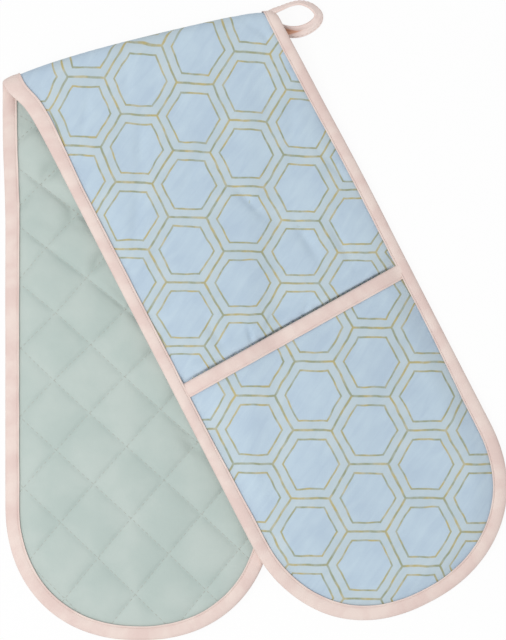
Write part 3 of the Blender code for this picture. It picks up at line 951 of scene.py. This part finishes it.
def edge_stops(step):
    """Stops round one leg: up one side, round the end, and down the other side."""
    straight = round((front.length - half) / step)
    turns = round(math.pi * half * round_share / step)
    stops = [(-1, share / straight) for share in range(straight, 0, -1)]
    stops += [(0, turn / turns) for turn in range(turns + 1)]
    return stops + [(1, share / straight) for share in range(1, straight + 1)]


# How wide the tape shows at the left and right of each leg, against its width at the round
# end, and at the crest of the fold, which squeezes it broad at its left end and rolls it
# under at its right end
tape_shares = {back: (1.0, 1.0), front: (0.86, 0.82)}
crest_shares, crest_reach = (1.25, 0.82), {back: 14 * MM, front: 110 * MM}
end_blend = 0.25


def edge_spot(leg, stop, inset):
    """The flat place at a stop of a leg's edge, this far in from the edge."""
    side, share = stop
    if side:
        wide = 1 + (tape_shares[leg][side > 0] - 1) * smooth(share / end_blend)
        from_crest = (1 - share) * (leg.crest_at(side * half) - half)
        near = smooth(1 - from_crest / crest_reach[leg])
        inset *= wide + (crest_shares[side > 0] - wide) * near
    if side == 0:
        return end_point(inset, math.pi * share)
    across = side * (half - inset)
    return across, half + (leg.crest_at(across) - half) * share


pocket_seam, pocket_seam_end = 1.3 * MM, 8 * MM
mouth_bump, mouth_bump_at, mouth_bump_reach = 0.7 * MM, 5 * MM, 6 * MM


def pocket_under_tape(along):
    """How much the pocket's layers add under the edge tape, with a bump at its mouth."""
    past = along - pocket_depth
    bump = mouth_bump * math.exp(-((past + mouth_bump_at) / mouth_bump_reach) ** 2)
    return pocket_seam * (1 - smooth(past / pocket_seam_end)) + bump


def edge_core(leg, stop, inset):
    """The depths of the two faces that the edge tape covers."""
    across, along = edge_spot(leg, stop, inset)
    return -pocket_under_tape(along), lining_depth(leg, across, along)


bias_cotton = pink_cotton("pink_bias_cotton", "#e1cac3", "#e9d7cf")
tape_step = 3.0 * MM
bindings, binding_runs = {}, {}
for leg in legs:
    bindings[leg], binding_runs[leg] = fold_tape(
        leg.name + "_edge_binding_tape", edge_stops(tape_step), partial(edge_spot, leg),
        partial(edge_core, leg), partial(strip_place, leg), bias_cotton, leg is back)
    bend_with(bindings[leg], leg, bend_middle)
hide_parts("back_edge_binding", "fold_binding_left")
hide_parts("front_edge_binding", "fold_binding_right")

# Pockets. Each end has a pocket of the same three layers, print side out, sewn in under
# the edge tape; its halves meet on the middle line.
pocket_inset = 5.0 * MM
pocket_side = half - pocket_inset
pocket_wadding, pocket_edge_layers = 2.0 * MM, 0.9 * MM
pocket_arch_power = 2.2
pocket_print_middle = (15.5 * MM, 126.1 * MM)
pocket_leans = (math.radians(1.6), math.radians(0.5))
pocket_stretch_shares = (1.018, 1.0)
mouth_width, mouth_thinning, mouth_thin_share = 9.5 * MM, 14 * MM, 0.7
mouth_slope, mouth_drop_share = 38 * MM, 0.9
# Where a pocket's hinge point lies, though nothing opens on it: its place along the leg, and its
# height
pocket_hinge = (120 * MM, 10 * MM)


def pocket_swell(across, along):
    """How the space for the hand opens, from the sewn edge to the middle of the mouth."""
    share = min(max((inset_of(across, along) - seam_inset) / (half - seam_inset), 0.0), 1.0)
    return smooth(along / pocket_depth) * (1 - (1 - share) ** pocket_arch_power)


def mouth_near(along):
    """1 under the mouth's tape and 0 further in."""
    return smooth((along - (pocket_depth - mouth_width - mouth_thinning)) / mouth_thinning)


def pocket_thickness(across, along):
    """The thickness of a pocket's three layers, thin at its seam and under its mouth's tape."""
    full = seam_swell(inset_of(across, along))
    thinner = 1 - mouth_thin_share * mouth_near(along)
    fill = edge_wadding + (pocket_wadding - edge_wadding) * thinner
    return pocket_edge_layers + (skins + fill - pocket_edge_layers) * full


def pocket_place(leg, across, along, depth):
    """A place in a pocket; depth is in from the face of its print."""
    room = hand_spaces[leg] * pocket_swell(across, along)
    if leg is front:
        near = smooth((along - pocket_depth + mouth_slope) / mouth_slope)
        room *= 1 - mouth_drop_share * near
    full = seam_swell(inset_of(across, along))
    over = pocket_seam + (pocket_thickness(across, along) + clearance - pocket_seam) * full
    point = leg.flat(across, along) + settle(leg, across, along)
    if leg is back:
        top = back_face(across, along) - clearance - room
        under = max(top - over, lift * max(1 - full, mouth_near(along)))
        return Vector((*point, max(under + depth, on_floor)))
    return Vector((*point, front_face(across, along) + room + over - depth))


pocket_wave_sizes = ((0.35, 46, 12.1), (0.08, 12, 15.9))
pocket_gathers = 0.10 * MM


def pocket_print_depth(across, along):
    """How deep a pocket's print lies in its soft waves and gathers."""
    waves = waves_of(pocket_wave_sizes, across, along) * seam_swell(inset_of(across, along))
    gathers = pocket_gathers * puckers(across, along, 21.3)
    return (waves + gathers) * (1 - mouth_near(along))


def open_with(piece, leg, side):
    """Bake half a pocket into place; its hinge points at the side and middle are found, but
    unused.
    """
    along, height = pocket_hinge
    Vector((*leg.flat(side * pocket_side, along), height))
    Vector((*leg.flat(0, along), height))
    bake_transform(piece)


mouth_hem, pad_gap = 1.2 * MM, 0.1 * MM


def hem_at(leg, across):
    """Where a pocket's layers end, just inside the tape of its mouth."""
    return mouth_at(leg, across) - mouth_hem


sides = {"left": -1, "right": 1}
pocket_steps, pocket_lining_step = {back: 3.4 * MM, front: 1.8 * MM}, 3.2 * MM
for leg in legs:
    place = partial(pocket_place, leg)
    hem = partial(hem_at, leg)
    for side, way in sides.items():
        ends = min(way * pocket_side, 0.0), max(way * pocket_side, 0.0)
        sheet = cut_sheet(pocket_inset, pocket_steps[leg], *ends, hem)
        mark_cloth(sheet, print_mark(
            leg, pocket_print_middle, pocket_leans, pocket_stretch_shares, 0.0))
        outer, area = lay_sheet(f"{leg.name}_pocket_print_{side}", sheet, place,
                                pocket_print_depth, strip_print, leg is back)
        sheet = cut_sheet(pocket_inset, pocket_lining_step, *ends, hem)
        mark_cloth(sheet, flat_mark)
        inner, _ = lay_pad(f"{leg.name}_pocket_lining_{side}", sheet, place,
                           lambda a, l: fabric + pad_gap, pocket_thickness, lining_cotton)
        open_with(outer, leg, way)
        open_with(inner, leg, way)
        if side == "left":
            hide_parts(leg.name + "_pocket_print")
            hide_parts(leg.name + "_pocket_lining", leg.name + "_pocket_wadding")


# Bias tape over each pocket's mouth. The same pink tape, pressed flatter, with its two
# ends caught under the edge tape.
def mouth_spot(leg, across, inset):
    """The flat place this far in from a pocket's mouth."""
    return across, mouth_at(leg, across) - inset


def mouth_core(leg, across, inset):
    """The depths of the two faces that the mouth's tape covers."""
    return 0.0, pocket_thickness(*mouth_spot(leg, across, inset))


mouth_tape_steps = {back: 3.0 * MM, front: 2.0 * MM}
for leg in legs:
    count = round(pocket_side / mouth_tape_steps[leg])
    for side, way in sides.items():
        stops = [way * pocket_side * (1 - share / count) for share in range(count + 1)]
        if side == "right":
            stops.reverse()
        piece, run = fold_tape(
            f"{leg.name}_mouth_tape_{side}", stops, partial(mouth_spot, leg),
            partial(mouth_core, leg), partial(pocket_place, leg), bias_cotton, leg is front)
        open_with(piece, leg, way)
        if side == "left":
            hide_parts(leg.name + "_mouth_binding")

# Hanging loop. A folded pink tape, sewn by both ends to the right edge below the fold;
# it stands almost on its edge, leans a little, and leaves an open eye.
loop_width, loop_thickness, loop_length = 8.4 * MM, 1.6 * MM, 86 * MM
loop_below_fold, loop_off_floor, loop_bulge = 6 * MM, 1.2 * MM, 0.5 * MM
loop_steps, loop_rows = 120, 16
root = back.flat(half + clearance, back.bend_at(half) - loop_below_fold)
# The tape's middle line from its upper end to its lower end, in millimetres from its root
loop_route = ((-4.5, 8.6), (0.2, 11.2), (5.4, 13.4), (11.8, 16.2), (18.8, 17.6), (25.6, 15.8),
              (30.5, 11.6), (31.4, 8.2), (29.7, 4.6), (24.5, 0.6), (17.9, -1.9), (10.9, -2.2),
              (5.0, -0.8), (-1.0, 1.5))
# How far the tape's upper edge leans in over the eye, from one end to the other, and how
# high its lower edge lies
loop_leans = (4.0, 4.0, 3.4, 3.0, 3.4, 4.4, 5.2, 5.6, 5.8, 6.2, 6.8, 7.2, 7.4, 7.4)
loop_lifts = (5.0, 5.0, 4.2, 3.0, 1.8, 1.0, 0.4, 0.2, 0.0, 0.4, 1.2, 2.2, 2.6, 2.6)
# Near its lower end the folded tape gapes, and painted shade darkens its inside: from which
# share of its length, how deep and wide, and over what shares it opens and the painted shade
# fades
gape_from, gape_deep, gape_run = 0.66, 2.2 * MM, 0.12
painted_shade_late, painted_shade_run, painted_shade_half, painted_shade_fade = 0.05, 0.16, 0.36, 0.12


def along_curve(values, share):
    """A smooth curve through a list of numbers or points, read at a share of its length."""
    run = share * (len(values) - 1)
    index = min(int(run), len(values) - 2)
    held = [values[min(max(index + step, 0), len(values) - 1)] for step in (-1, 0, 1, 2)]
    t = run - index
    weights = (t * (t * (2 - t) - 1), t * t * (3 * t - 5) + 2, t * (t * (4 - 3 * t) + 1),
               t * t * (t - 1))
    return sum((value * (weight / 2) for value, weight in zip(held[1:], weights[1:])),
               held[0] * (weights[0] / 2))


loop_points = [Vector(point) * MM for point in loop_route]


def loop_place(share, over, out=0.0):
    """A place on the loop, by its share along the tape and over its width."""
    middle = along_curve(loop_points, share)
    ahead, behind = (along_curve(loop_points, min(max(share + step, 0), 1))
                     for step in (0.01, -0.01))
    outward = Vector((behind.y - ahead.y, ahead.x - behind.x)).normalized()
    lean = along_curve(loop_leans, share) * MM
    stand = math.sqrt(loop_width ** 2 - lean ** 2)
    gape = gape_deep * smooth((share - gape_from) / gape_run) * math.sin(math.pi * over) ** 2
    bulge = loop_bulge * math.sin(math.pi * over) * (1 + ripple(share, over, 0.2, 3.0))
    face = Vector((*outward * stand, lean)).normalized()
    point = root + middle + outward * lean * (0.5 - over)
    height = loop_off_floor + along_curve(loop_lifts, share) * MM + stand * over
    return Vector((*point, height)) + face * (bulge + out - gape)


ribbon = bmesh.new()
ribbon_map = ribbon.loops.layers.uv.new("cloth")
# The "gape" map is the mask of the painted shade inside the gaping fold
painted_shade_map = ribbon.loops.layers.uv.new("gape")
bmesh.ops.create_grid(ribbon, x_segments=loop_steps, y_segments=loop_rows, size=0.5)
loop_flat = {}
for vert in ribbon.verts:
    share, over = vert.co.x + 0.5, vert.co.y + 0.5
    vert.co = loop_place(share, over)
    loop_flat[vert] = (share, over)
for face in ribbon.faces:
    for corner in face.loops:
        share, over = loop_flat[corner.vert]
        corner[ribbon_map].uv = share * loop_length, over * loop_width
        # Painted shade where the fold gapes, strongest in the middle of the tape's width
        shaded_half = painted_shade_half * smooth((share - gape_from - painted_shade_late) / painted_shade_run)
        corner[painted_shade_map].uv = smooth((shaded_half - abs(over - 0.5)) / painted_shade_fade), 0
# dfa98c is the painted shade of the gaping fold's inside
loop_cotton = pink_cotton("pink_cotton_loop", "#efd9d2", "#f6e5de", "#dfa98c")
loop = show("hanging_loop_tape", ribbon, loop_cotton)
thicken(loop, loop_thickness, 0.0)
rounding = loop.modifiers.new("rolled_edges", "BEVEL")
rounding.width = 0.5 * MM
rounding.segments = 3
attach(loop, "loop")
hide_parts("hanging_loop")


# Stitches. Cotton thread in short lock stitches: a row along each lip of the tapes, one
# along the loop, and rows along the quilting lines of the lining.
def sewing_thread(name, written):
    """Spun cotton thread: matt, a little darker than the cloth it is sunk in."""
    material, shader = new_material(name)
    where = add_node(material, "TexCoord", {})["Object"]
    twist = add_node(material, "TexWave", {"Vector": where, "Scale": 900.0, "Distortion": 2.0})
    colour = add_node(material, "Mix", {"Factor": twist["Fac"], "A": linear(written),
                                        "B": linear("#cbbfb6")}, data_type="RGBA")["Result"]
    join(material, colour, shader.inputs["Base Color"])
    shader.inputs["Roughness"].default_value = 0.8
    return material


def pairs_along(points, stitch, gap):
    """Cut a run of close points into stitches with gaps between them."""
    pairs, start, run, sewing = [], points[0], 0.0, True
    for last, point in zip(points, points[1:]):
        run += (point - last).length
        if sewing and run >= stitch:
            pairs.append((start, point))
            sewing, run = False, 0.0
        elif not sewing and run >= gap:
            start, sewing, run = point, True, 0.0
    return pairs


thread_flatness = 0.7


def sew(name, runs, stitch, gap, thickness, material):
    """Lay small rounded stitches along runs of close points."""
    single = bmesh.new()
    bmesh.ops.create_icosphere(single, subdivisions=1, radius=0.5)
    bead = bpy.data.meshes.new("stitch")
    single.to_mesh(bead)
    single.free()
    row = bmesh.new()
    for first, last in (pair for points in runs for pair in pairs_along(points, stitch, gap)):
        run = last - first
        turn = run.to_track_quat("X", "Z").to_matrix().to_4x4()
        size = Matrix.Diagonal((run.length, thickness, thickness * thread_flatness, 1))
        known = len(row.verts)
        row.from_mesh(bead)
        row.verts.ensure_lookup_table()
        place = Matrix.Translation((first + last) / 2) @ turn @ size
        bmesh.ops.transform(row, matrix=place, verts=row.verts[known:])
    bpy.data.meshes.remove(bead)
    return show(name, row, material)


tape_thread = sewing_thread("pink_thread", "#d9b9ae")
thread, on_tape = 0.42 * MM, 0.62 * MM
edge_stitch, edge_gap, edge_step = 2.2 * MM, 0.9 * MM, 0.55 * MM
for leg in legs:
    runs = []
    for outer in (True, False):
        points = []
        for stop in edge_stops(edge_step):
            first, last = edge_core(leg, stop, seam_inset)
            depth = first - on_tape if outer else last + on_tape
            across, along = edge_spot(leg, stop, seam_inset)
            points.append(strip_place(leg, across, along, depth))
        runs.append(points)
    piece = sew(leg.name + "_edge_stitches", runs, edge_stitch, edge_gap, thread, tape_thread)
    bend_with(piece, leg, bend_middle)

fine_stitch, fine_gap, fine_thread = 2.0 * MM, 0.8 * MM, 0.4 * MM
seam_from, seam_share, seam_over, on_loop = 0.04, 0.92, 0.14, 0.86 * MM
seam_points = 180
points = [loop_place(seam_from + seam_share * share / seam_points, seam_over, on_loop)
          for share in range(seam_points + 1)]
loop_stitches = sew("loop_stitches", [points], fine_stitch, fine_gap, fine_thread, tape_thread)
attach(loop_stitches, "loop")

mouth_points = 220
for leg in legs:
    for side, way in sides.items():
        points = []
        for share in range(mouth_points + 1):
            across = way * (half - binding_width) * (1 - share / mouth_points)
            points.append(pocket_place(leg, *mouth_spot(leg, across, seam_inset), -on_tape))
        piece = sew(f"{leg.name}_mouth_stitches_{side}", [points], fine_stitch, fine_gap,
                    thread, tape_thread)
        open_with(piece, leg, way)

lining_thread = sewing_thread("green_thread", "#9bada5")
quilt_stitch, quilt_gap, on_lining = 2.4 * MM, 1.1 * MM, 0.05 * MM
# The quilting is followed for this many lines each way, in steps this share of a line long;
# a row with no more than a few points on the leg isn't sewn
quilt_lines, quilt_points, quilt_share, fewest_points = 16, 1100, 0.0155, 8
for leg in legs:
    runs = []
    for line in range(-quilt_lines, quilt_lines + 1):
        for rightward in (True, False):
            points = []
            for share in range(-quilt_points, quilt_points + 1):
                run = share * quilt_share
                flat = quilt_flat(run, line) if rightward else quilt_flat(line, run)
                inside = inset_of(flat.x, flat.y) > binding_width
                if flat.y > 0 and inside and flat.y < leg.crest_at(flat.x):
                    depth = lining_depth(leg, flat.x, flat.y) + on_lining
                    points.append(strip_place(leg, flat.x, flat.y, depth))
            if len(points) > fewest_points:
                runs.append(points)
    piece = sew(leg.name + "_quilting_stitches", runs, quilt_stitch, quilt_gap, fine_thread,
                lining_thread)
    bend_with(piece, leg, bend_middle)

# The studio: a plain white floor, soft light from all round with one wide lamp, and the
# camera straight above, as the photograph was taken.
floor_half, floor_below = 3.0, 0.7 * MM
floor_shape = bmesh.new()
bmesh.ops.create_grid(floor_shape, x_segments=1, y_segments=1, size=floor_half)
for vert in floor_shape.verts:
    vert.co.z = -floor_below
paper, paper_shader = new_material("white_paper")
paper_shader.inputs["Base Color"].default_value = linear("#f2f2f2")
paper_shader.inputs["Roughness"].default_value = 0.9


def seen_share(owner):
    """1 where the camera sees the background, straight or in a gloss or glass, and 0 where
    it only lights the glove."""
    rays = add_node(owner, "LightPath", {})
    seen = add_node(owner, "Math", {0: rays["Is Camera Ray"], 1: rays["Is Glossy Ray"]},
                    operation="MAXIMUM")[0]
    return add_node(owner, "Math", {0: seen, 1: rays["Is Transmission Ray"]},
                    operation="MAXIMUM")[0]


paper_glow = 0.93
seen = add_node(paper, "Math", {0: seen_share(paper), 1: paper_glow}, operation="MULTIPLY")[0]
glow = add_node(paper, "Emission", {"Color": (1, 1, 1, 1), "Strength": 1.0})[0]
both = add_node(paper, "MixShader", {0: seen, 1: paper_shader.outputs[0], 2: glow})[0]
join(paper, both, paper.node_tree.nodes["Material Output"].inputs["Surface"])
floor = show("floor", floor_shape, paper)

world = bpy.data.worlds.new("studio")
bpy.context.scene.world = world
world.use_nodes = True
sky = world.node_tree.nodes["Background"]
sky.inputs["Color"].default_value = (1, 1, 1, 1)
sky_light, sky_seen = 0.66, 0.99
level = add_node(world, "MapRange", {"Value": seen_share(world), "To Min": sky_light,
                                     "To Max": sky_seen})["Result"]
join(world, level, sky.inputs["Strength"])

lamp_data = bpy.data.lights.new("softbox", "AREA")
lamp_data.shape = "RECTANGLE"
lamp_data.size, lamp_data.size_y = 0.9, 0.7
lamp_data.energy = 6.3
softbox = bpy.data.objects.new("softbox", lamp_data)
softbox.location = (-0.46, -0.2, 1.08)
softbox.rotation_euler = (-softbox.location).to_track_quat("-Z", "Y").to_euler()
bpy.context.scene.collection.objects.link(softbox)

# The photograph is 640 pixels high, at 1451 pixels to the metre at the glove's own height
camera_height, camera_aside, sharp_height = 1.1, -1.0 * MM, 12 * MM
photo_height, photo_scale, sensor = 640, 1451, 36
camera_data = bpy.data.cameras.new("camera")
camera_data.sensor_width = sensor
camera_data.lens = sensor * (camera_height - sharp_height) / (photo_height / photo_scale)
camera = bpy.data.objects.new("camera", camera_data)
camera.location = (camera_aside, 0, camera_height)
bpy.context.scene.collection.objects.link(camera)
bpy.context.scene.camera = camera
bpy.context.scene.view_settings.view_transform = "Standard"
